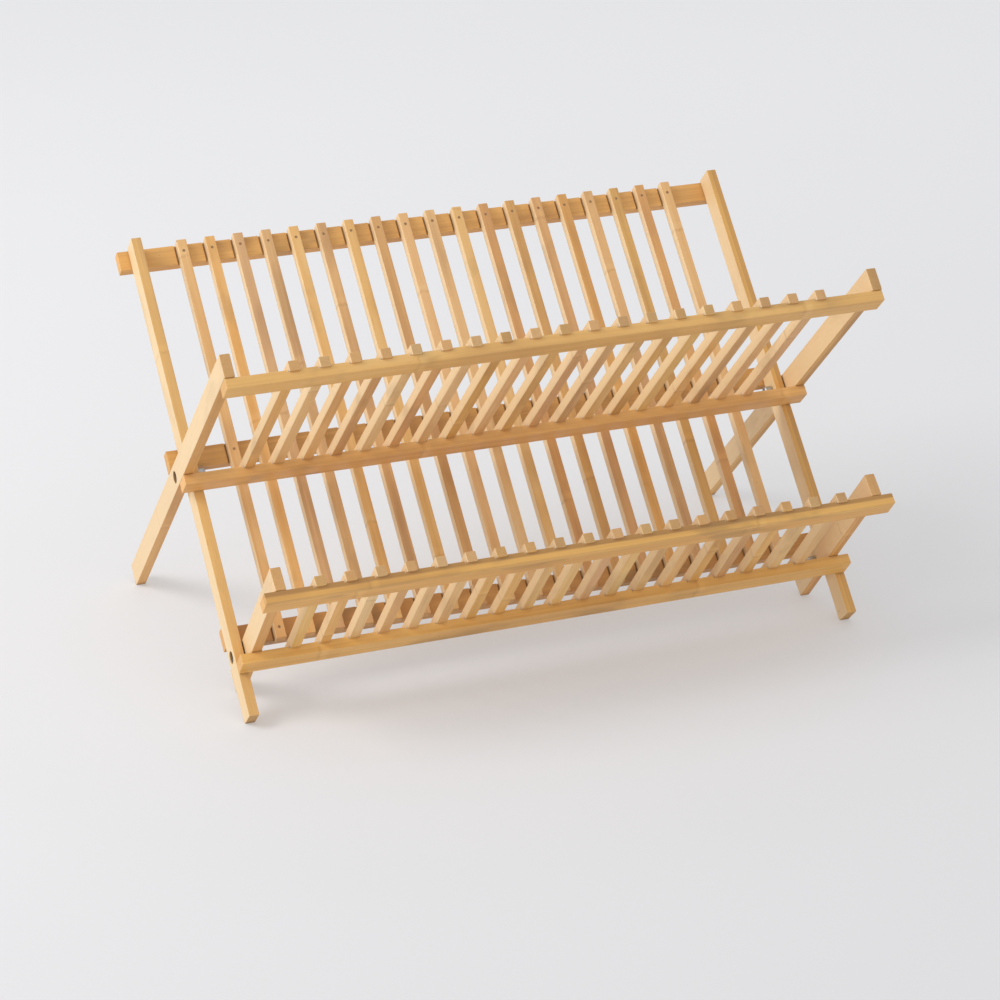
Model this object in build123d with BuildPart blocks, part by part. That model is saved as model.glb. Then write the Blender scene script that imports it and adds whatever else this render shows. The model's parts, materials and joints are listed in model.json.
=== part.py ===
from build123d import *
from math import atan2, cos, degrees, radians, sin
import os

# Folding two-tier dish drying rack of bamboo strips.
#
# Three ladder frames cross on two pivot axes. The long frame leans back, with its
# rails behind its legs. The upper frame crosses it outside, and the short lower
# frame crosses it inside, both with their rails in front. Slats lie in shallow
# notches across the rails. All sizes are in millimetres.
#
# Axes: X runs along the rails, Y points to the back, Z points up. The origin is
# on the floor, at the middle of the open rack's width and depth.

# ---- Overall sizes -------------------------------------------------------
rack_width = 455.0  # over the upper frame's legs
long_leg_length = 350.0
upper_leg_above = 172.7  # from its pivot to its top end
upper_leg_below = 177.3  # from its pivot to its foot
lower_leg_above = 111.5  # from its pivot to its top end
upper_pivot_rise = 175.0  # along the long leg, from its foot
lower_pivot_rise = 44.0
upper_open_angle = 90.0  # between the long legs and the upper legs
lower_open_angle = 85.0

# ---- Strips --------------------------------------------------------------
leg_thickness = 7.0
leg_depth = 16.0
leg_gap = 0.9  # sideways, between legs that cross
rail_height = 14.5
rail_thickness = 7.5
slat_width = 7.0
slat_depth = 7.0
edge_ease = 0.5  # rounding on every strip
foot_sink = 1.0  # how much of each foot's corner is planed off flat
foot_clearance = 0.3  # the lower feet hang this far off the floor

# ---- Rails along their legs ----------------------------------------------
long_rail_inset = 1.5  # from the leg's top end to the top rail
upper_rail_inset = 1.0
lower_rail_inset = 0.5
bottom_rail_clearance = 2.1  # from the lower legs to the long frame's bottom rail
stop_clearance = 0.1  # between a rail and the leg that it rests on

# ---- Slats ---------------------------------------------------------------
slat_count = 19
slat_end_gap = 22.45  # from the lower legs' inner faces to the middle of the end slats
notch_depth = 1.6
notch_play_left = 1.4  # each slat is pushed to the right in its notch
notch_play_right = 0.2
slat_overrun = 1.5  # past the top rail
slat_underrun = 0.5  # past the lowest rail

# ---- Hardware ------------------------------------------------------------
bolt_radius = 2.0
bolt_head_radius = 4.0
bolt_head_height = 1.8
bolt_head_sink = 0.8  # below the leg's face
bolt_slot_width = 1.0
bolt_slot_depth = 0.8
nut_side_wall = 1.4
nut_length = 5.6
nut_end_wall = 1.2  # the barrel nut is closed at its far end
nut_ease = 0.4
pivot_clearance = 0.05  # radial, bolt in leg
head_clearance = 0.3  # radial, bolt head in its recess
side_clearance = 0.1  # along the bolt, head or nut to leg
brad_radius = 0.6
brad_head_radius = 1.0
brad_head_height = 0.5
brad_length = 11.0
dowel_radius = 1.5
dowel_in_rail = 5.5
dowel_in_leg = 10.0
fastener_clearance = 0.05  # round each brad and dowel, and past its end

# ---- Places that follow from the sizes -----------------------------------
# The upper feet are found from the long feet in the long leg's own directions,
# and the slope of the line between them sets how far the long frame leans.
half_depth = leg_depth / 2
upper_turn = radians(upper_open_angle)
lower_turn = radians(lower_open_angle)
foot_along = upper_pivot_rise - upper_leg_below * cos(upper_turn) - half_depth * sin(upper_turn)
foot_across = half_depth - upper_leg_below * sin(upper_turn) + half_depth * cos(upper_turn)
lean = atan2(-foot_across, foot_along)

upper_leg_outer = rack_width / 2
long_leg_outer = upper_leg_outer - leg_thickness - leg_gap
lower_leg_outer = long_leg_outer - leg_thickness - leg_gap
slats_half_span = lower_leg_outer - leg_thickness - slat_end_gap
slat_pitch = 2 * slats_half_span / (slat_count - 1)


def on_long_frame(along, across, lead=0.0):
    """World Y and Z of a point given along the long leg and out from its back face."""
    return (
        lead + along * cos(lean) - across * sin(lean),
        along * sin(lean) + across * cos(lean) - foot_sink,
    )


# The rack's front is the lower frame's outer rail, and its back is the top rail.
lower_lean = lean + lower_turn
lower_rail_top = lower_leg_above - lower_rail_inset
long_rail_top = long_leg_length - long_rail_inset
front_y = (
    on_long_frame(lower_pivot_rise, half_depth)[0]
    + lower_rail_top * cos(lower_lean)
    - (half_depth + rail_thickness) * sin(lower_lean)
)
back_y = on_long_frame(long_rail_top, -rail_thickness)[0]
lead_y = -(front_y + back_y) / 2

# Each frame has its own plane. Local X runs across the rack, local Y up the
# leg, and local Z from the rails (below zero) to the legs (above zero).
long_seat = Plane(
    origin=(0, *on_long_frame(0, 0, lead_y)),
    x_dir=(1, 0, 0),
    z_dir=(0, -sin(lean), cos(lean)),
)


def crossing_seat(pivot_rise, turn):
    """Seat plane of a frame that crosses the long frame, with local Y zero at its pivot."""
    tilt = lean + turn
    pivot_y, pivot_z = on_long_frame(pivot_rise, half_depth, lead_y)
    return Plane(
        origin=(0, pivot_y - half_depth * sin(tilt), pivot_z + half_depth * cos(tilt)),
        x_dir=(-1, 0, 0),
        z_dir=(0, sin(tilt), -cos(tilt)),
    )


upper_seat = crossing_seat(upper_pivot_rise, upper_turn)
lower_seat = crossing_seat(lower_pivot_rise, lower_turn)


def rest_height(turn, clearance):
    """How far above its pivot a rail sits, at a clearance from the leg that it rests on."""
    return half_depth * (1 - cos(turn)) / sin(turn) + clearance


# The lower legs reach down to just above the floor.
lower_pivot_height = on_long_frame(lower_pivot_rise, half_depth)[1]
lower_leg_below = (
    lower_pivot_height + half_depth * cos(lower_lean) - foot_clearance
) / sin(lower_lean)

# Bottom edge of each rail, along its own legs.
upper_stop_rise = rest_height(upper_turn, stop_clearance)
lower_stop_rise = rest_height(lower_turn, stop_clearance)
bottom_rail_low = lower_pivot_rise + rest_height(lower_turn, bottom_rail_clearance)
long_rails = {
    "long_top_rail": (long_rail_top - rail_height, upper_leg_outer),
    "long_middle_rail": (upper_pivot_rise + upper_stop_rise, upper_leg_outer),
    "long_bottom_rail": (bottom_rail_low, long_leg_outer),
}
upper_rails = {
    "upper_outer_rail": (upper_leg_above - upper_rail_inset - rail_height, upper_leg_outer),
    "upper_inner_rail": (upper_stop_rise, upper_leg_outer),
}
lower_rails = {
    "lower_outer_rail": (lower_rail_top - rail_height, long_leg_outer),
    "lower_inner_rail": (lower_stop_rise, long_leg_outer),
}

slat_front = slat_depth - notch_depth
head_recess = bolt_head_height + bolt_head_sink
bolt_grip = 2 * leg_thickness + leg_gap - head_recess + side_clearance


def rail_middles(rails):
    """Middle of each rail, along the legs."""
    return [bottom + rail_height / 2 for bottom, half_width in rails.values()]


def slat_places():
    """Middle of each slat across the rack, from the left."""
    return [slat_pitch * i - slats_half_span for i in range(slat_count)]


def spots(seat, height, places):
    """Locations on a frame, at a height over its seat plane."""
    return [seat.location * Location((x, y, height)) for x, y in places]


def fixings(leg_outer, rails):
    """Where a frame's dowels stand: the middle of each leg at each rail."""
    across = leg_outer - leg_thickness / 2
    return [(side * across, y) for side in (-1, 1) for y in rail_middles(rails)]


def keep(builder, label):
    """Names a finished piece and writes it."""
    builder.part.label = label
    export_step(builder.part, f"parts/{label}.step")


def make_leg(seat, side, outer, low, high, rails, pivots, recessed):
    """One leg. Pivots are places along it, and those in recessed take a bolt head."""
    across = side * (outer - leg_thickness / 2)
    middle = (low + high) / 2
    out_face = Plane(
        origin=seat.from_local_coords((across, 0, half_depth)),
        x_dir=seat.y_dir,
        z_dir=seat.x_dir * side,
    )
    out_height = leg_thickness / 2
    with BuildPart() as leg:
        with BuildSketch(seat):
            with Locations((across, middle)):
                Rectangle(leg_thickness, high - low)
        extrude(amount=leg_depth)
        fillet(leg.edges(), edge_ease)
        split(bisect_by=Plane.XY, keep=Keep.TOP)
        with Locations(*spots(Plane(seat.origin, x_dir=seat.x_dir, z_dir=-seat.z_dir), 0,
                              [(across, -y) for y in rail_middles(rails)])):
            Hole(dowel_radius + fastener_clearance, depth=dowel_in_leg + fastener_clearance)
        for pivot in pivots:
            with Locations(out_face.location * Location((pivot, 0, out_height))):
                if pivot in recessed:
                    CounterBoreHole(
                        bolt_radius + pivot_clearance,
                        bolt_head_radius + head_clearance,
                        head_recess,
                    )
                else:
                    Hole(bolt_radius + pivot_clearance)
    return leg


def make_rail(seat, bottom, half_width, leg_outer):
    """One rail, notched for the slats, with holes for brads and dowels."""
    middle = bottom + rail_height / 2
    brad_places = [(x, middle) for x in slat_places()]
    notch_width = notch_play_left + slat_width + notch_play_right
    notch_shift = seat.x_dir.X * (notch_play_right - notch_play_left) / 2
    notch_places = [(x + notch_shift, middle) for x in slat_places()]
    dowel_across = leg_outer - leg_thickness / 2
    with BuildPart() as rail:
        with BuildSketch(seat):
            with Locations((0, middle)):
                Rectangle(2 * half_width, rail_height)
        extrude(amount=-rail_thickness)
        fillet(rail.edges(), edge_ease)
        with BuildSketch(seat):
            with Locations(*notch_places):
                Rectangle(notch_width, rail_height + 2 * edge_ease)
        extrude(amount=-notch_depth, mode=Mode.SUBTRACT)
        with Locations(*spots(seat, -notch_depth, brad_places)):
            Hole(
                brad_radius + fastener_clearance,
                depth=brad_length - slat_depth + fastener_clearance,
            )
        with Locations(*spots(seat, 0, [(-dowel_across, middle), (dowel_across, middle)])):
            Hole(dowel_radius + fastener_clearance, depth=dowel_in_rail + fastener_clearance)
    return rail


def make_slats(seat, places, low, high, rails):
    """Slats across the rails, with a counterbored hole for each brad."""
    middle = (low + high) / 2
    brad_places = [(x, y) for x in places for y in rail_middles(rails)]
    with BuildPart() as slats:
        with BuildSketch(seat.offset(-notch_depth)):
            with Locations(*[(x, middle) for x in places]):
                Rectangle(slat_width, high - low)
        extrude(amount=slat_depth)
        fillet(slats.edges(), edge_ease)
        with Locations(*spots(seat, slat_front, brad_places)):
            CounterBoreHole(
                brad_radius + fastener_clearance,
                brad_head_radius + fastener_clearance,
                brad_head_height,
                depth=slat_depth,
            )
    return slats


def make_brads(seat, rails):
    """Flat-headed brads, driven through each slat into each rail."""
    places = [(x, y) for x in slat_places() for y in rail_middles(rails)]
    with BuildPart() as brads:
        with Locations(*spots(seat, slat_front - brad_head_height, places)):
            Cylinder(brad_head_radius, brad_head_height, align=(Align.CENTER, Align.CENTER, Align.MIN))
            Cylinder(
                brad_radius,
                brad_length - brad_head_height,
                align=(Align.CENTER, Align.CENTER, Align.MAX),
            )
    return brads


def make_dowels(seat, leg_outer, rails):
    """Dowels that pin the rails to the legs."""
    with BuildPart() as dowels:
        with Locations(*spots(seat, -dowel_in_rail, fixings(leg_outer, rails))):
            Cylinder(
                dowel_radius,
                dowel_in_rail + dowel_in_leg,
                align=(Align.CENTER, Align.CENTER, Align.MIN),
            )
    return dowels


def pivot_seats():
    """A plane at each bolt's head recess: its floor, looking out of the rack."""
    pivots = [(upper_pivot_rise, upper_leg_outer), (lower_pivot_rise, long_leg_outer)]
    return [
        Plane(
            origin=(side * (outer - head_recess), *on_long_frame(rise, half_depth, lead_y)),
            x_dir=(0, cos(lean), sin(lean)),
            z_dir=(side, 0, 0),
        )
        for rise, outer in pivots
        for side in (-1, 1)
    ]


def make_pivot_bolts():
    """Slotted flat-headed bolts, one through each pair of crossing legs."""
    with BuildPart() as bolts:
        for seat in pivot_seats():
            head = seat.offset(side_clearance)
            with BuildSketch(head):
                Circle(bolt_head_radius)
            extrude(amount=bolt_head_height - side_clearance)
            with BuildSketch(head):
                Circle(bolt_radius)
            extrude(amount=-(bolt_grip + nut_length - nut_end_wall))
            with BuildSketch(seat.offset(bolt_head_height)):
                Rectangle(2 * bolt_head_radius, bolt_slot_width)
            extrude(amount=-bolt_slot_depth, mode=Mode.SUBTRACT)
    return bolts


def make_pivot_nuts():
    """Barrel nuts on the inner ends of the bolts, closed at the far end."""
    with BuildPart() as nuts:
        for seat in pivot_seats():
            face = seat.offset(-bolt_grip)
            with BuildSketch(face):
                Circle(bolt_radius + nut_side_wall)
            extrude(amount=-nut_length)
            with BuildSketch(face):
                Circle(bolt_radius + fastener_clearance)
            extrude(amount=-(nut_length - nut_end_wall), mode=Mode.SUBTRACT)
        chamfer(nuts.edges().filter_by(GeomType.CIRCLE).group_by(SortBy.RADIUS)[-1], nut_ease)
    return nuts


def make_frame(name, seat, leg_outer, low, high, rails, pivots, recessed):
    """The legs, rails, brads and dowels of one frame."""
    # On a crossing frame local X runs to the left, so its sides swap.
    for side, hand in ((-1, "left"), (1, "right")):
        local_side = side * seat.x_dir.X
        leg = make_leg(seat, local_side, leg_outer, low, high, rails, pivots, recessed)
        keep(leg, f"{name}_leg_{hand}")
    for rail_name, (bottom, half_width) in rails.items():
        keep(make_rail(seat, bottom, half_width, leg_outer), rail_name)
    keep(make_brads(seat, rails), f"{name}_frame_brads")
    keep(make_dowels(seat, leg_outer, rails), f"{name}_frame_dowels")


def slat_ends(rails):
    """The low and high end of a frame's slats, from its lowest and highest rail."""
    bottoms = [bottom for bottom, half_width in rails.values()]
    return min(bottoms) - slat_underrun, max(bottoms) + rail_height + slat_overrun


def make_numbered_slats(name, seat, rails):
    """A frame's slats as separate pieces, numbered from the left."""
    low, high = slat_ends(rails)
    for number, place in enumerate(slat_places(), start=1):
        slat = make_slats(seat, [place * seat.x_dir.X], low, high, rails)
        keep(slat, f"{name}_slat_{number:02d}")


os.makedirs("parts", exist_ok=True)

make_frame(
    "long", long_seat, long_leg_outer, 0, long_leg_length, long_rails,
    pivots=[lower_pivot_rise, upper_pivot_rise], recessed=[lower_pivot_rise],
)
make_frame(
    "upper", upper_seat, upper_leg_outer, -upper_leg_below, upper_leg_above, upper_rails,
    pivots=[0], recessed=[0],
)
make_frame(
    "lower", lower_seat, lower_leg_outer, -lower_leg_below, lower_leg_above, lower_rails,
    pivots=[0], recessed=[],
)
make_numbered_slats("long", long_seat, long_rails)
make_numbered_slats("upper", upper_seat, upper_rails)
keep(make_slats(lower_seat, slat_places(), *slat_ends(lower_rails), lower_rails), "lower_slats")
keep(make_pivot_bolts(), "pivot_bolts")
keep(make_pivot_nuts(), "pivot_nuts")

print(f"lean {degrees(lean):.3f} deg, front {front_y + lead_y:.2f}, back {back_y + lead_y:.2f}")
for title, rise in (("upper", upper_pivot_rise), ("lower", lower_pivot_rise)):
    pivot_y, pivot_z = on_long_frame(rise, half_depth, lead_y)
    print(f"{title} pivot at Y {pivot_y:.4f}, Z {pivot_z:.4f}")
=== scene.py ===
import json
import math

import bmesh
import bpy
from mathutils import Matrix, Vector

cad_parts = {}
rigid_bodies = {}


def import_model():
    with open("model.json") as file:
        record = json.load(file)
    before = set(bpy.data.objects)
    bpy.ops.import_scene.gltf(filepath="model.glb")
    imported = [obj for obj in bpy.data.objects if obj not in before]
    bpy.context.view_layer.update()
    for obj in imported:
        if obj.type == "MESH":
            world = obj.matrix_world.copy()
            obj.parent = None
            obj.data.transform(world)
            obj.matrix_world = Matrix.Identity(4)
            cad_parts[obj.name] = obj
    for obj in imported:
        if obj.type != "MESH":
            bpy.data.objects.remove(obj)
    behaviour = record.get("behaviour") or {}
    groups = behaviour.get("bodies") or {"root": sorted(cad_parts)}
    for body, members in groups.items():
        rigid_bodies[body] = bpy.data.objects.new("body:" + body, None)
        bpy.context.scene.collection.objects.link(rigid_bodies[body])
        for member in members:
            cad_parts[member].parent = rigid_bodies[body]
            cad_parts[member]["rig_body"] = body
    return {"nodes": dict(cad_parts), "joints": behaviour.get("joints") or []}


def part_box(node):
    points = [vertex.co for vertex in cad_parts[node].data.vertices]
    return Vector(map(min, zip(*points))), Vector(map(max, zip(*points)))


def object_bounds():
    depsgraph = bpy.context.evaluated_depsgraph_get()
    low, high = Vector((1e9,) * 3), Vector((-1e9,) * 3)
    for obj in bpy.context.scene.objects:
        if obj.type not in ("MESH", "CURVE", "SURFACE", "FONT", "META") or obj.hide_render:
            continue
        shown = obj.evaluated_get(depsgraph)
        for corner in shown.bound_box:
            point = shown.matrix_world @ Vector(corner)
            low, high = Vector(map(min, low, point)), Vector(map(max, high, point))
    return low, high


# Looks for the folding bamboo dish rack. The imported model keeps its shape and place,
# and each strip gets bamboo whose grain follows that strip. Sizes are in metres.

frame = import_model()
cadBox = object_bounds()
nodes = frame["nodes"]


# how the three frames lie

foldRest = {"slack": 0.5}  # degrees that a folded frame stays short of flat

joints = {joint["child"]: joint for joint in frame["joints"]}
upperPivot = Vector(joints["upper_frame"]["pos_m"])
lowerPivot = Vector(joints["lower_frame"]["pos_m"])
pivotLine = upperPivot - lowerPivot  # it runs up the middle of the long legs


def leanOf(body):
    lean = math.atan2(pivotLine.z, pivotLine.y)
    if body in joints:
        lean += math.radians(joints[body]["range_deg"][1] + foldRest["slack"])
    return lean


def middleOf(name):
    low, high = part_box(name)
    return (low + high) / 2


slatPitch = middleOf("long_slat_02").x - middleOf("long_slat_01").x
slatCount = len([name for name in nodes if name.startswith("long_slat_")])


# camera

cameraView = {
    "place": (-0.7255, -1.8461, 0.9213),
    "target": (-0.0039, -0.0007, 0.0868),
    "roll": -0.09,
    "lens": 112.4,
    "sensor": 36,
}


def makeCamera(view):
    data = bpy.data.cameras.new("camera")
    data.lens = view["lens"]
    data.sensor_width = view["sensor"]
    camera = bpy.data.objects.new("camera", data)
    bpy.context.scene.collection.objects.link(camera)
    place = Vector(view["place"])
    aim = (Vector(view["target"]) - place).to_track_quat("-Z", "Y").to_euler()
    camera.location = place
    camera.rotation_euler = aim
    camera.rotation_euler.rotate_axis("Z", math.radians(view["roll"]))
    bpy.context.scene.camera = camera


makeCamera(cameraView)
print("camera in place")


# node helpers

def feed(tree, item, sockets):
    # a socket is linked, and a plain value is set
    for name, value in sockets.items():
        if isinstance(value, bpy.types.NodeSocket):
            tree.links.new(value, item.inputs[name])
        else:
            item.inputs[name].default_value = value


def add(tree, kind, sockets=None, **options):
    item = tree.nodes.new("ShaderNode" + kind)
    for name, value in options.items():
        setattr(item, name, value)
    feed(tree, item, sockets or {})
    return item


def grouped(tree, group, sockets):
    item = tree.nodes.new("ShaderNodeGroup")
    item.node_tree = group
    feed(tree, item, sockets)
    return item.outputs


def maths(tree, operation, *values, clamp=False):
    item = add(tree, "Math", dict(enumerate(values)), operation=operation, use_clamp=clamp)
    return item.outputs[0]


def mixed(tree, amount, first, second):
    sockets = {0: amount, 6: first, 7: second}
    return add(tree, "Mix", sockets, data_type="RGBA").outputs[2]


def ranged(tree, value, low, high, toLow=0.0, toHigh=1.0):
    sockets = {
        "Value": value,
        "From Min": low,
        "From Max": high,
        "To Min": toLow,
        "To Max": toHigh,
    }
    item = add(tree, "MapRange", sockets, interpolation_type="SMOOTHSTEP")
    return item.outputs["Result"]


def stretched(tree, vector, size):
    item = add(tree, "VectorMath", {0: vector, 1: size}, operation="MULTIPLY")
    return item.outputs["Vector"]


def noise(tree, vector, size, detail, roughness):
    sockets = {
        "Vector": stretched(tree, vector, size),
        "Scale": 1.0,
        "Detail": detail,
        "Roughness": roughness,
    }
    return add(tree, "TexNoise", sockets).outputs["Fac"]


def newGroup(name, inputs, outputs):
    group = bpy.data.node_groups.new(name, "ShaderNodeTree")
    face = group.interface
    for title, kind, value in inputs:
        socket = face.new_socket(name=title, in_out="INPUT", socket_type="NodeSocket" + kind)
        if value is not None:
            socket.default_value = value
    for title, kind in outputs:
        face.new_socket(name=title, in_out="OUTPUT", socket_type="NodeSocket" + kind)
    inside = group.nodes.new("NodeGroupInput")
    result = group.nodes.new("NodeGroupOutput")
    return group, inside.outputs, result.inputs


# effects that several finishes share

def makeStripTable():
    # one number for each strip, and random values that stay the same all along it
    group, given, result = newGroup(
        "stripNumber",
        [("Across", "Float", 0.0), ("Spacing", "Float", 0.02), ("Seed", "Float", 0.0)],
        [("Number", "Float"), ("Random", "Color")],
    )
    place = maths(group, "DIVIDE", given["Across"], given["Spacing"])
    number = maths(group, "ROUND", place)
    together = add(group, "CombineXYZ", {"X": number, "Y": given["Seed"]}).outputs[0]
    white = add(group, "TexWhiteNoise", {"Vector": together}, noise_dimensions="2D")
    group.links.new(number, result["Number"])
    group.links.new(white.outputs["Color"], result["Random"])
    return group


# A noise holds its stretch along X, Y and Z, its detail and its roughness.
# A range holds where it starts and ends, and then what it gives there.
grainLook = {
    "push": (3.0, 7.0, 5.0),
    "fine": ((1500, 22, 1500), 3, 0.6),
    "bands": ((330, 5, 330), 2, 0.5),
    "drift": ((70, 9, 70), 2, 0.5),
    "fineShare": 0.5, "bandShare": 0.55, "driftShare": 0.55, "level": 0.8,
    "ripple": ((260, 40, 260), 2, 0.5), "waviness": 0.004,
    "ring": (0.0003, 0.0016, 1.0, 0.0), "ringBreaks": (0.3, 0.6, 0.35, 1.0),
    "shoulderAway": 0.0035, "shoulder": (0.0005, 0.004, 1.0, 0.0),
    "flecks": ((2300, 95, 2300), 1, 0.5), "fleckRange": (0.66, 0.76),
    "fleckPlaces": (0.42, 0.62), "fleckDark": 0.30,
    "specks": (85, 60, 85), "speckSize": (0.03, 0.07, 1.0, 0.0),
    "speckChance": (0.86, 0.9), "speckDark": 0.8,
    "smokeAndShade": ((38, 16, 38), 3, 0.55), "smokeRange": (0.55, 0.70),
    "patch": ((24, 12, 24), 2, 0.5), "patchRange": (0.48, 0.68),
    "fineHeight": 0.5, "shoulderHeight": 0.6, "fleckHeight": 0.4, "shoulderShade": 0.12,
}


def makeGrain(look):
    # fibres, knots, flecks and smoke marks of a bamboo strip whose length is local Y
    group, given, result = newGroup(
        "bambooGrain",
        [
            ("Vector", "Vector", None),
            ("Random", "Color", None),
            ("Fibre", "Float", 1.0),
            ("Knot Spacing", "Float", 0.3),
            ("Smoke And Shade", "Float", 0.5),
        ],
        [(title, "Float") for title in ("Shade", "Patch", "Knot", "Dark", "Height")],
    )
    chance = add(group, "SeparateColor", {"Color": given["Random"]}).outputs
    push = stretched(group, given["Random"], look["push"])
    moved = add(group, "VectorMath", {0: given["Vector"], 1: push}, operation="ADD")
    vector = moved.outputs[0]

    fine = noise(group, vector, *look["fine"])
    bands = noise(group, vector, *look["bands"])
    drift = noise(group, vector, *look["drift"])
    shade = maths(group, "MULTIPLY", fine, look["fineShare"])
    shade = maths(group, "MULTIPLY_ADD", bands, look["bandShare"], shade)
    shade = maths(group, "MULTIPLY_ADD", drift, look["driftShare"], shade)
    shade = maths(group, "SUBTRACT", shade, look["level"])
    shade = maths(group, "MULTIPLY", shade, given["Fibre"])

    # a knot is a thin ring across the strip, with a pale shoulder above it
    along = add(group, "SeparateXYZ", {"Vector": given["Vector"]}).outputs["Y"]
    ripple = noise(group, vector, *look["ripple"])
    wavy = maths(group, "MULTIPLY_ADD", ripple, look["waviness"], along)
    turns = maths(group, "DIVIDE", wavy, given["Knot Spacing"])
    turns = maths(group, "ADD", turns, chance[1])
    share = maths(group, "SUBTRACT", maths(group, "FRACT", turns), 0.5)
    away = maths(group, "MULTIPLY", share, given["Knot Spacing"])
    ring = ranged(group, maths(group, "ABSOLUTE", away), *look["ring"])
    above = maths(group, "SUBTRACT", away, look["shoulderAway"])
    shoulder = ranged(group, maths(group, "ABSOLUTE", above), *look["shoulder"])
    knot = maths(group, "MULTIPLY", ring, ranged(group, ripple, *look["ringBreaks"]))

    # short dark flecks along the fibres, and a few round specks
    flecks = ranged(group, noise(group, vector, *look["flecks"]), *look["fleckRange"])
    flecks = maths(group, "MULTIPLY", flecks, ranged(group, drift, *look["fleckPlaces"]))
    spread = stretched(group, vector, look["specks"])
    specks = add(group, "TexVoronoi", {"Vector": spread, "Scale": 1.0})
    rare = add(group, "SeparateColor", {"Color": specks.outputs["Color"]}).outputs[0]
    speck = ranged(group, specks.outputs["Distance"], *look["speckSize"])
    speck = maths(group, "MULTIPLY", speck, ranged(group, rare, *look["speckChance"]))
    smokeAndShade = ranged(group, noise(group, vector, *look["smokeAndShade"]), *look["smokeRange"])
    smokeAndShade = maths(group, "MULTIPLY", smokeAndShade, given["Smoke And Shade"])
    dark = maths(group, "MULTIPLY_ADD", flecks, look["fleckDark"], smokeAndShade)
    dark = maths(group, "MAXIMUM", dark, maths(group, "MULTIPLY", speck, look["speckDark"]))

    patch = ranged(group, noise(group, vector, *look["patch"]), *look["patchRange"])
    raised = maths(group, "MULTIPLY", shoulder, look["shoulderHeight"])
    height = maths(group, "MULTIPLY_ADD", fine, look["fineHeight"], raised)
    sunk = maths(group, "MULTIPLY", flecks, look["fleckHeight"])
    height = maths(group, "SUBTRACT", height, sunk)
    height = maths(group, "SUBTRACT", height, knot)
    lift = maths(group, "MULTIPLY_ADD", shoulder, look["shoulderShade"], shade)
    found = {"Shade": lift, "Patch": patch, "Knot": knot, "Dark": dark, "Height": height}
    for title, socket in found.items():
        group.links.new(socket, result[title])
    return group


endLook = {
    "facing": (0.75, 0.95),
    "bundles": (1500, 300, 1500),
    "dots": (0.12, 0.42, 1.0, 0.0),
}


def makeEnds(look):
    # cut ends, where the fibre bundles show as dots
    group, given, result = newGroup(
        "cutEnd",
        [("Vector", "Vector", None), ("Normal", "Vector", None)],
        [("Mask", "Float"), ("Dots", "Float")],
    )
    facing = add(group, "SeparateXYZ", {"Vector": given["Normal"]}).outputs["Y"]
    mask = ranged(group, maths(group, "ABSOLUTE", facing), *look["facing"])
    spread = stretched(group, given["Vector"], look["bundles"])
    cells = add(group, "TexVoronoi", {"Vector": spread, "Scale": 1.0})
    dots = ranged(group, cells.outputs["Distance"], *look["dots"])
    group.links.new(mask, result["Mask"])
    group.links.new(dots, result["Dots"])
    return group


edgeLook = {
    "edgeWidth": 0.0009, "edge": (0.35, 0.9, 1.0, 0.0),
    "creviceShadeWidth": 0.004, "creviceShade": (0.15, 0.85, 1.0, 0.0),
    "rays": 6,
}


def makeEdges(look):
    # rubbed edges, and painted shade in the seams and crevices between parts
    group, given, result = newGroup(
        "edgeAndCreviceShade",
        [("Edge Width", "Float", look["edgeWidth"]), ("Seam Width", "Float", look["creviceShadeWidth"])],
        [("Edge", "Float"), ("Seam", "Float")],
    )
    near = {"Distance": given["Edge Width"]}
    wide = {"Distance": given["Seam Width"]}
    inner = add(group, "AmbientOcclusion", near, samples=look["rays"], inside=True)
    outer = add(group, "AmbientOcclusion", wide, samples=look["rays"])
    group.links.new(ranged(group, inner.outputs["AO"], *look["edge"]), result["Edge"])
    group.links.new(ranged(group, outer.outputs["AO"], *look["creviceShade"]), result["Seam"])
    return group


stripNumber = makeStripTable()
bambooGrain = makeGrain(grainLook)
cutEnd = makeEnds(endLook)
edgeAndCreviceShade = makeEdges(edgeLook)
print("shared effects built")


# bamboo

bambooColours = {
    "pale": (0.87, 0.59, 0.27, 1),
    "honey": (0.78, 0.44, 0.145, 1),
    "amber": (0.55, 0.285, 0.10, 1),
    # side faces: partly the paler flesh of pressed strips, partly a painted highlight
    "side": (0.86, 0.665, 0.405, 1),
    "knot": (0.34, 0.17, 0.055, 1),
    # smoke marks, and painted shade on the inner rails of the long frame
    "smokeAndShade": (0.32, 0.18, 0.07, 1),
    "cut": (0.79, 0.465, 0.20, 1),
    "bundle": (0.50, 0.25, 0.085, 1),
    "darkBand": (0.36, 0.18, 0.06, 1),
    "rubbed": (0.86, 0.64, 0.36, 1),
    # painted shade for seams and crevices between parts
    "creviceShade": (0.20, 0.095, 0.03, 1),
}

# how brown each slat is, from the left, with 0 the palest and 9 the brownest
slatTones = {
    "long_frame": "4366354734376655664",
    "upper_frame": "5446354635464534645",
    "lower_frame": "3545236454635456545",
}

legLook = {
    "spacing": 0.2, "fibre": 0.9, "knots": 0.31, "ring": 0.15, "smokeAndShade": 0.14,
    "tone": 0.60, "spread": 0.14, "patch": 0.16, "tint": 0.010, "strength": 0.08,
    "fleshAndLitSide": 0.75, "cut": 0.70,
}
railLook = {
    "spacing": 0.04, "fibre": 1.0, "knots": 0.27, "ring": 0.20, "smokeAndShade": 0.42,
    "tone": 0.48, "spread": 0.14, "patch": 0.22, "tint": 0.006, "strength": 0.05,
    "fleshAndLitSide": 0.0, "cut": 1.0,
}
slatLook = {
    "spacing": slatPitch, "fibre": 1.0, "knots": 0.29, "ring": 0.22, "smokeAndShade": 0.26,
    "tone": -0.02, "spread": 0.10, "patch": 0.26, "tint": 0.013, "strength": 0.16,
    "fleshAndLitSide": 0.85, "cut": 0.74,
}


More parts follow.
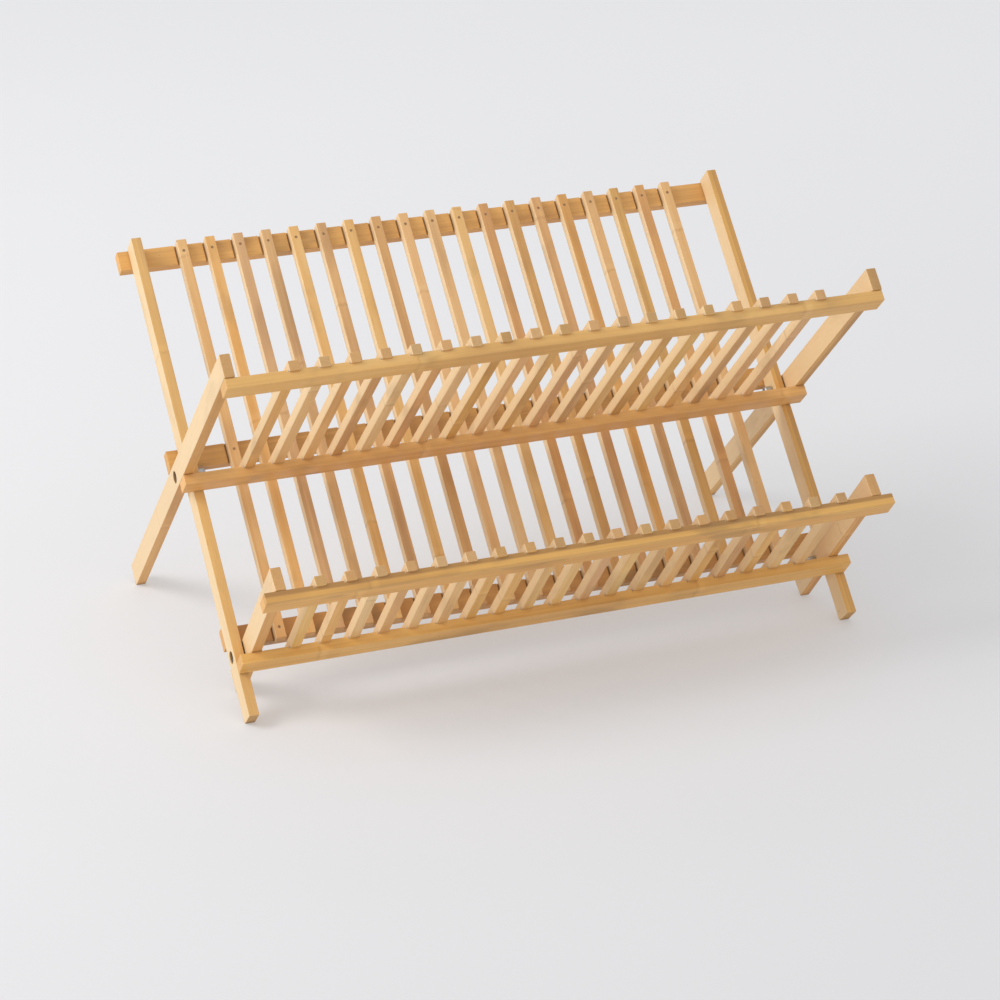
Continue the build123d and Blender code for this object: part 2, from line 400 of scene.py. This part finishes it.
# what every bamboo strip shares
strips = {
    "shadeShare": 0.9, "honeyAt": 0.5, "saturation": 1.04,
    "layer": (0.0, 0.0003, -0.05, 0.11), "jointLine": (0.0001, 0.0004, 0.35, 0.0),
    "sideways": (0.6, 0.95, 0.0),
    "darkBandFacing": (-0.9, -0.6, 1.0, 0.0), "darkBandDepth": (-0.0009, 0.0004, 0.75, 0.0),
    "darkBandWander": 0.002,
    "cutSpread": 0.25, "cutLift": 0.1, "cutShare": 0.65,
    "rubbedShare": 0.22, "creviceShadeShare": 0.5,
    "roughness": 0.50, "grainSheen": 0.35, "cutRoughness": 0.25,
    "bumpStrength": 0.35, "bumpDepth": 0.0002, "specular": 0.45,
}
brownest = 9  # the digit in slatTones that stands for the brownest shade


def newMaterial(name):
    material = bpy.data.materials.new(name)
    material.use_nodes = True
    tree = material.node_tree
    tree.nodes.clear()
    surface = add(tree, "BsdfPrincipled")
    output = add(tree, "OutputMaterial")
    tree.links.new(surface.outputs["BSDF"], output.inputs["Surface"])
    return material, tree, surface


def toneSteps(tree, number, digits):
    # a ramp with one flat step for each slat
    place = maths(tree, "ADD", number, slatCount / 2)
    ramp = add(tree, "ValToRGB", {"Fac": maths(tree, "DIVIDE", place, slatCount)})
    steps = ramp.color_ramp
    steps.interpolation = "CONSTANT"
    ready = len(steps.elements)
    for index, digit in enumerate(digits):
        if index < ready:
            step = steps.elements[index]
            step.position = index / slatCount
        else:
            step = steps.elements.new(index / slatCount)
        level = int(digit) / brownest
        step.color = (level, level, level, 1)
    return ramp.outputs["Color"]


def makeBamboo(name, look, body, seed, alongRack=False, digits=None, joint=None, darkBand=None):
    material, tree, surface = newMaterial(name)
    turn = (-leanOf(body), 0, math.radians(90) if alongRack else 0)
    coordinates = add(tree, "TexCoord").outputs
    placed = {"Vector": coordinates["Object"], "Rotation": turn}
    strip = add(tree, "Mapping", placed).outputs[0]
    turned = {"Vector": coordinates["Normal"], "Rotation": turn}
    facing = add(tree, "Mapping", turned, vector_type="VECTOR").outputs[0]
    place = add(tree, "SeparateXYZ", {"Vector": strip}).outputs
    own = grouped(tree, stripNumber, {
        "Across": place["X"],
        "Spacing": look["spacing"],
        "Seed": seed,
    })
    grain = grouped(tree, bambooGrain, {
        "Vector": strip,
        "Random": own["Random"],
        "Fibre": look["fibre"],
        "Knot Spacing": look["knots"],
        "Smoke And Shade": look["smokeAndShade"],
    })
    ends = grouped(tree, cutEnd, {"Vector": strip, "Normal": facing})
    edges = grouped(tree, edgeAndCreviceShade, {})
    chance = add(tree, "SeparateColor", {"Color": own["Random"]}).outputs

    tone = maths(tree, "MULTIPLY_ADD", chance[0], look["spread"], look["tone"])
    if digits:
        tone = maths(tree, "ADD", tone, toneSteps(tree, own["Number"], digits))
    shade = maths(tree, "MULTIPLY", grain["Shade"], strips["shadeShare"])
    tone = maths(tree, "SUBTRACT", tone, shade)
    tone = maths(tree, "MULTIPLY_ADD", grain["Patch"], look["patch"], tone, clamp=True)
    if joint:
        # the right leg is two layers glued side by side, the outer one browner
        layer = maths(tree, "SUBTRACT", place["X"], joint)
        tone = maths(tree, "ADD", tone, ranged(tree, layer, *strips["layer"]), clamp=True)
    ramp = add(tree, "ValToRGB", {"Fac": tone})
    ramp.color_ramp.elements[0].color = bambooColours["pale"]
    ramp.color_ramp.elements[1].color = bambooColours["amber"]
    ramp.color_ramp.elements.new(strips["honeyAt"]).color = bambooColours["honey"]
    hue = maths(tree, "MULTIPLY_ADD", chance[2], look["tint"], 0.5 - look["tint"] / 2)
    strength = maths(tree, "MULTIPLY_ADD", chance[1], -look["strength"], strips["saturation"])
    tint = add(tree, "HueSaturation", {
        "Hue": hue,
        "Saturation": strength,
        "Color": ramp.outputs["Color"],
    })
    colour = tint.outputs["Color"]
    # side faces (normal along X) turn paler: partly the paler flesh of the pressed strips,
    # partly a painted highlight for the strong light on left-facing faces
    sideways = add(tree, "SeparateXYZ", {"Vector": coordinates["Normal"]}).outputs["X"]
    sideways = maths(tree, "ABSOLUTE", sideways)
    sideways = ranged(tree, sideways, *strips["sideways"], look["fleshAndLitSide"])
    colour = mixed(tree, sideways, colour, bambooColours["side"])
    if joint:
        line = ranged(tree, maths(tree, "ABSOLUTE", layer), *strips["jointLine"])
        colour = mixed(tree, line, colour, bambooColours["darkBand"])
    if darkBand:
        # a darker band runs along the back of the rail's upper face
        upward = add(tree, "SeparateXYZ", {"Vector": facing}).outputs["X"]
        upward = ranged(tree, upward, *strips["darkBandFacing"])
        depth = maths(tree, "SUBTRACT", place["Z"], darkBand)
        depth = maths(tree, "MULTIPLY_ADD", grain["Shade"], strips["darkBandWander"], depth)
        band = maths(tree, "MULTIPLY", ranged(tree, depth, *strips["darkBandDepth"]), upward)
        colour = mixed(tree, band, colour, bambooColours["darkBand"])
    ring = maths(tree, "MULTIPLY", grain["Knot"], look["ring"])
    colour = mixed(tree, ring, colour, bambooColours["knot"])
    colour = mixed(tree, grain["Dark"], colour, bambooColours["smokeAndShade"])
    cut = mixed(tree, ends["Dots"], bambooColours["cut"], bambooColours["bundle"])
    light = look["cut"] + strips["cutLift"]
    light = maths(tree, "MULTIPLY_ADD", chance[2], -strips["cutSpread"], light)
    cut = add(tree, "HueSaturation", {"Value": light, "Color": cut}).outputs["Color"]
    colour = mixed(tree, maths(tree, "MULTIPLY", ends["Mask"], strips["cutShare"]), colour, cut)
    rubbed = maths(tree, "MULTIPLY", edges["Edge"], strips["rubbedShare"])
    colour = mixed(tree, rubbed, colour, bambooColours["rubbed"])
    # painted shade: seams and crevices between parts darken towards a deep brown
    creviceShade = maths(tree, "MULTIPLY", edges["Seam"], strips["creviceShadeShare"])
    colour = mixed(tree, creviceShade, colour, bambooColours["creviceShade"])
    tree.links.new(colour, surface.inputs["Base Color"])

    sheen = -strips["grainSheen"]
    rough = maths(tree, "MULTIPLY_ADD", grain["Shade"], sheen, strips["roughness"])
    rough = maths(tree, "MULTIPLY_ADD", ends["Mask"], strips["cutRoughness"], rough, clamp=True)
    tree.links.new(rough, surface.inputs["Roughness"])
    bump = add(tree, "Bump", {
        "Height": grain["Height"],
        "Strength": strips["bumpStrength"],
        "Distance": strips["bumpDepth"],
    })
    tree.links.new(bump.outputs["Normal"], surface.inputs["Normal"])
    surface.inputs["Specular IOR Level"].default_value = strips["specular"]
    return material


# metal and dowels

nutLook = {
    "colour": (0.54, 0.53, 0.50, 1), "dullAndShade": (0.34, 0.32, 0.29, 1), "roughness": 0.28,
    "metal": 1.0, "scratches": 0.4, "paintedSlot": 35,
}
# the bolt heads are near black-brown: painted shade for the recesses they sit in
shadedBoltLook = {
    "colour": (0.19, 0.15, 0.115, 1), "dullAndShade": (0.08, 0.055, 0.035, 1), "roughness": 0.42,
    "metal": 0.9, "scratches": 0.3, "paintedSlot": None,
}
bradLook = {
    "colour": (0.38, 0.215, 0.10, 1), "dullAndShade": (0.24, 0.12, 0.05, 1), "roughness": 0.58,
    "metal": 0.3, "scratches": 0.2, "paintedSlot": None,
}
# what all the steel shares
steels = {
    "widths": {"Edge Width": 0.0004, "Seam Width": 0.0015},
    "clouds": ((600, 600, 600), 4, 0.6), "cloudRange": (0.35, 0.7),
    "scratches": ((400, 9000, 9000), 2, 0.5),
    "cloudShare": 0.5, "creviceShadeShare": 0.6,
    "cloudRoughness": 0.18, "edgePolish": 0.12, "bumpDepth": 0.0003,
}
# a slot painted on the nut heads: its near-black colour is painted shade
paintedSlotLook = {
    "width": (0.0003, 0.0005, 1.0, 0.0), "reach": (0.0026, 0.0029, 1.0, 0.0),
    "colour": (0.02, 0.018, 0.015, 1), "share": 0.85, "scratches": 0.1,
}
dowelLook = {
    "colour": (0.66, 0.46, 0.25, 1), "dark": (0.48, 0.29, 0.13, 1),
    "pores": ((900, 120, 120), 3, 0.6), "poreRange": (0.35, 0.7),
    "flutes": ((2500, 300, 300), 2, 0.5),
    "roughness": 0.52, "poreRoughness": 0.2, "bumpStrength": 0.3, "bumpDepth": 0.0001,
}


def makePaintedSlot(tree, place, degrees):
    # a straight driver slot across the middle of every head on the two pivot lines, painted as a
    # near-black stripe of shade with a dip in the bump
    paintedSlot = None
    angle = math.radians(degrees)
    for pivot in (upperPivot, lowerPivot):
        away = add(tree, "VectorMath", {0: place, 1: pivot}, operation="SUBTRACT").outputs[0]
        across = (0, -math.sin(angle), math.cos(angle))
        width = add(tree, "VectorMath", {0: away, 1: across}, operation="DOT_PRODUCT")
        width = maths(tree, "ABSOLUTE", width.outputs["Value"])
        mark = ranged(tree, width, *paintedSlotLook["width"])
        flat = add(tree, "VectorMath", {0: away, 1: (0, 1, 1)}, operation="MULTIPLY").outputs[0]
        reach = add(tree, "VectorMath", {0: flat}, operation="LENGTH").outputs["Value"]
        mark = maths(tree, "MULTIPLY", mark, ranged(tree, reach, *paintedSlotLook["reach"]))
        paintedSlot = maths(tree, "MAXIMUM", mark, paintedSlot) if paintedSlot else mark
    return paintedSlot


def makeSteel(name, look):
    material, tree, surface = newMaterial(name)
    place = add(tree, "TexCoord").outputs["Object"]
    edges = grouped(tree, edgeAndCreviceShade, steels["widths"])
    cloudy = ranged(tree, noise(tree, place, *steels["clouds"]), *steels["cloudRange"])
    height = noise(tree, place, *steels["scratches"])
    clouds = maths(tree, "MULTIPLY", cloudy, steels["cloudShare"])
    colour = mixed(tree, clouds, look["colour"], look["dullAndShade"])
    # painted shade: seams and crevices between parts darken towards the dull colour
    creviceShade = maths(tree, "MULTIPLY", edges["Seam"], steels["creviceShadeShare"])
    colour = mixed(tree, creviceShade, colour, look["dullAndShade"])
    if look["paintedSlot"] is not None:
        # painted shade: the slot stripe turns near black
        paintedSlot = makePaintedSlot(tree, place, look["paintedSlot"])
        mark = maths(tree, "MULTIPLY", paintedSlot, paintedSlotLook["share"])
        colour = mixed(tree, mark, colour, paintedSlotLook["colour"])
        height = maths(tree, "MULTIPLY", height, paintedSlotLook["scratches"])
        height = maths(tree, "SUBTRACT", height, paintedSlot)
    rough = maths(tree, "MULTIPLY_ADD", cloudy, steels["cloudRoughness"], look["roughness"])
    polish = maths(tree, "MULTIPLY", edges["Edge"], steels["edgePolish"])
    rough = maths(tree, "SUBTRACT", rough, polish)
    bump = add(tree, "Bump", {
        "Height": height,
        "Strength": look["scratches"],
        "Distance": steels["bumpDepth"],
    })
    tree.links.new(colour, surface.inputs["Base Color"])
    tree.links.new(rough, surface.inputs["Roughness"])
    tree.links.new(bump.outputs["Normal"], surface.inputs["Normal"])
    surface.inputs["Metallic"].default_value = look["metal"]
    return material


def makeDowelWood(name, look):
    material, tree, surface = newMaterial(name)
    place = add(tree, "TexCoord").outputs["Object"]
    pores = noise(tree, place, *look["pores"])
    flutes = noise(tree, place, *look["flutes"])
    colour = mixed(tree, ranged(tree, pores, *look["poreRange"]), look["colour"], look["dark"])
    bump = add(tree, "Bump", {
        "Height": flutes,
        "Strength": look["bumpStrength"],
        "Distance": look["bumpDepth"],
    })
    tree.links.new(colour, surface.inputs["Base Color"])
    rough = maths(tree, "MULTIPLY_ADD", pores, look["poreRoughness"], look["roughness"])
    tree.links.new(rough, surface.inputs["Roughness"])
    tree.links.new(bump.outputs["Normal"], surface.inputs["Normal"])
    return material


# what a frame's rails and slats add to the frame's own seed
seedSteps = {"rails": 10, "slats": 20}
darkBandRail = {"name": "lower_outer_rail", "body": "lower_frame", "seed": 13}
# the long frame's bottom and middle rails get a browner tone and more smoke marks as painted
# shade, for their place deep inside the rack
shadedRails = {
    "tones": {"long_bottom_rail": 0.88, "long_middle_rail": 0.78},
    "smokeAndShade": 0.75, "body": "long_frame", "firstSeed": 14,
}


def dress(name, material):
    data = nodes[name].data
    data.materials.clear()
    data.materials.append(material)


def dressFrame(body, seed):
    prefix = body.split("_")[0]
    joint = middleOf(prefix + "_leg_right").x
    legs = makeBamboo(body + "LegBamboo", legLook, body, seed, joint=joint)
    railSeed = seed + seedSteps["rails"]
    rails = makeBamboo(body + "RailBamboo", railLook, body, railSeed, alongRack=True)
    slatSeed = seed + seedSteps["slats"]
    slats = makeBamboo(body + "SlatBamboo", slatLook, body, slatSeed, digits=slatTones[body])
    for name in sorted(nodes):
        if nodes[name]["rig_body"] != body:
            continue
        for word, material in (("leg", legs), ("rail", rails), ("slat", slats)):
            if "_" + word in name:
                dress(name, material)


def dressDarkBandRail(rail):
    lean = leanOf(rail["body"])
    middle = middleOf(rail["name"])
    darkBand = middle.z * math.cos(lean) - middle.y * math.sin(lean)
    bamboo = makeBamboo(
        "darkBandRailBamboo", railLook, rail["body"], rail["seed"], alongRack=True, darkBand=darkBand
    )
    dress(rail["name"], bamboo)


def dressShadedRails(rails):
    for seed, (name, tone) in enumerate(rails["tones"].items(), start=rails["firstSeed"]):
        # painted shade: a browner tone and extra smoke marks on these rails
        look = dict(railLook, tone=tone, smokeAndShade=rails["smokeAndShade"])
        dress(name, makeBamboo(name + "Bamboo", look, rails["body"], seed, alongRack=True))


for seed, body in enumerate(("long_frame", "upper_frame", "lower_frame"), start=1):
    dressFrame(body, seed)
dressDarkBandRail(darkBandRail)
dressShadedRails(shadedRails)

nutSteel = makeSteel("nutSteel", nutLook)
shadedBoltSteel = makeSteel("shadedBoltSteel", shadedBoltLook)
bradSteel = makeSteel("bradSteel", bradLook)
dowelWood = makeDowelWood("dowelWood", dowelLook)
for name in sorted(nodes):
    if name == "pivot_nuts":
        dress(name, nutSteel)
    elif name == "pivot_bolts":
        dress(name, shadedBoltSteel)
    elif name.endswith("_brads"):
        dress(name, bradSteel)
    elif name.endswith("_dowels"):
        dress(name, dowelWood)
print("finishes on every node")


# floor and light

floorLook = {
    "radius": 14.0, "segments": 96, "roughness": 0.75, "specular": 0.2,
    "colour": (0.515, 0.515, 0.53, 1), "clouds": ((3, 3, 3), 2, 0.5), "cloudShade": 0.97,
    "glow": (-0.9, 1.5, 0.25, 0.365), "glowColour": (1, 1, 1, 1),
}


def makeFloor(look):
    mesh = bmesh.new()
    bmesh.ops.create_circle(
        mesh, cap_ends=True, segments=look["segments"], radius=look["radius"]
    )
    data = bpy.data.meshes.new("floor")
    mesh.to_mesh(data)
    mesh.free()
    floor = bpy.data.objects.new("floor", data)
    bpy.context.scene.collection.objects.link(floor)
    material, tree, surface = newMaterial("paleFloor")
    place = add(tree, "TexCoord").outputs["Object"]
    cloudy = noise(tree, place, *look["clouds"])
    dim = tuple(look["cloudShade"] * value for value in look["colour"][:3]) + (1,)
    shade = mixed(tree, cloudy, look["colour"], dim)
    tree.links.new(shade, surface.inputs["Base Color"])
    surface.inputs["Roughness"].default_value = look["roughness"]
    surface.inputs["Specular IOR Level"].default_value = look["specular"]
    surface.inputs["Emission Color"].default_value = look["glowColour"]
    back = add(tree, "SeparateXYZ", {"Vector": place}).outputs["Y"]
    # the floor glows a little more towards the back
    glow = ranged(tree, back, *look["glow"])
    tree.links.new(glow, surface.inputs["Emission Strength"])
    data.materials.append(material)


lightRig = {
    "sky": (0.97, 0.98, 1.0, 1),
    "skyStrength": 0.69,
    "key": {
        "kind": "AREA", "place": (-1.9, 0.2, 1.6), "size": 1.2,
        "power": 29.5, "colour": (1.0, 0.985, 0.96),
    },
    "fill": {
        "kind": "SUN", "place": (-0.5, -2.0, 0.6), "angle": 70,
        "power": 0.40, "colour": (1.0, 0.99, 0.97),
    },
}


def makeLight(name, look, target):
    data = bpy.data.lights.new(name, look["kind"])
    if look["kind"] == "AREA":
        data.shape = "SQUARE"
        data.size = look["size"]
    else:
        data.angle = math.radians(look["angle"])
    data.energy = look["power"]
    data.color = look["colour"]
    light = bpy.data.objects.new(name, data)
    bpy.context.scene.collection.objects.link(light)
    light.location = look["place"]
    aim = Vector(target) - Vector(look["place"])
    light.rotation_euler = aim.to_track_quat("-Z", "Y").to_euler()


def makeSky(look):
    world = bpy.data.worlds.new("studio")
    world.use_nodes = True
    sky = world.node_tree.nodes["Background"].inputs
    sky["Color"].default_value = look["sky"]
    sky["Strength"].default_value = look["skyStrength"]
    bpy.context.scene.world = world


middle = (cadBox[0] + cadBox[1]) / 2
makeFloor(floorLook)
makeSky(lightRig)
bpy.context.scene.view_settings.view_transform = "Standard"
for name in ("key", "fill"):
    makeLight(name, lightRig[name], middle)
print("floor and lights in place")
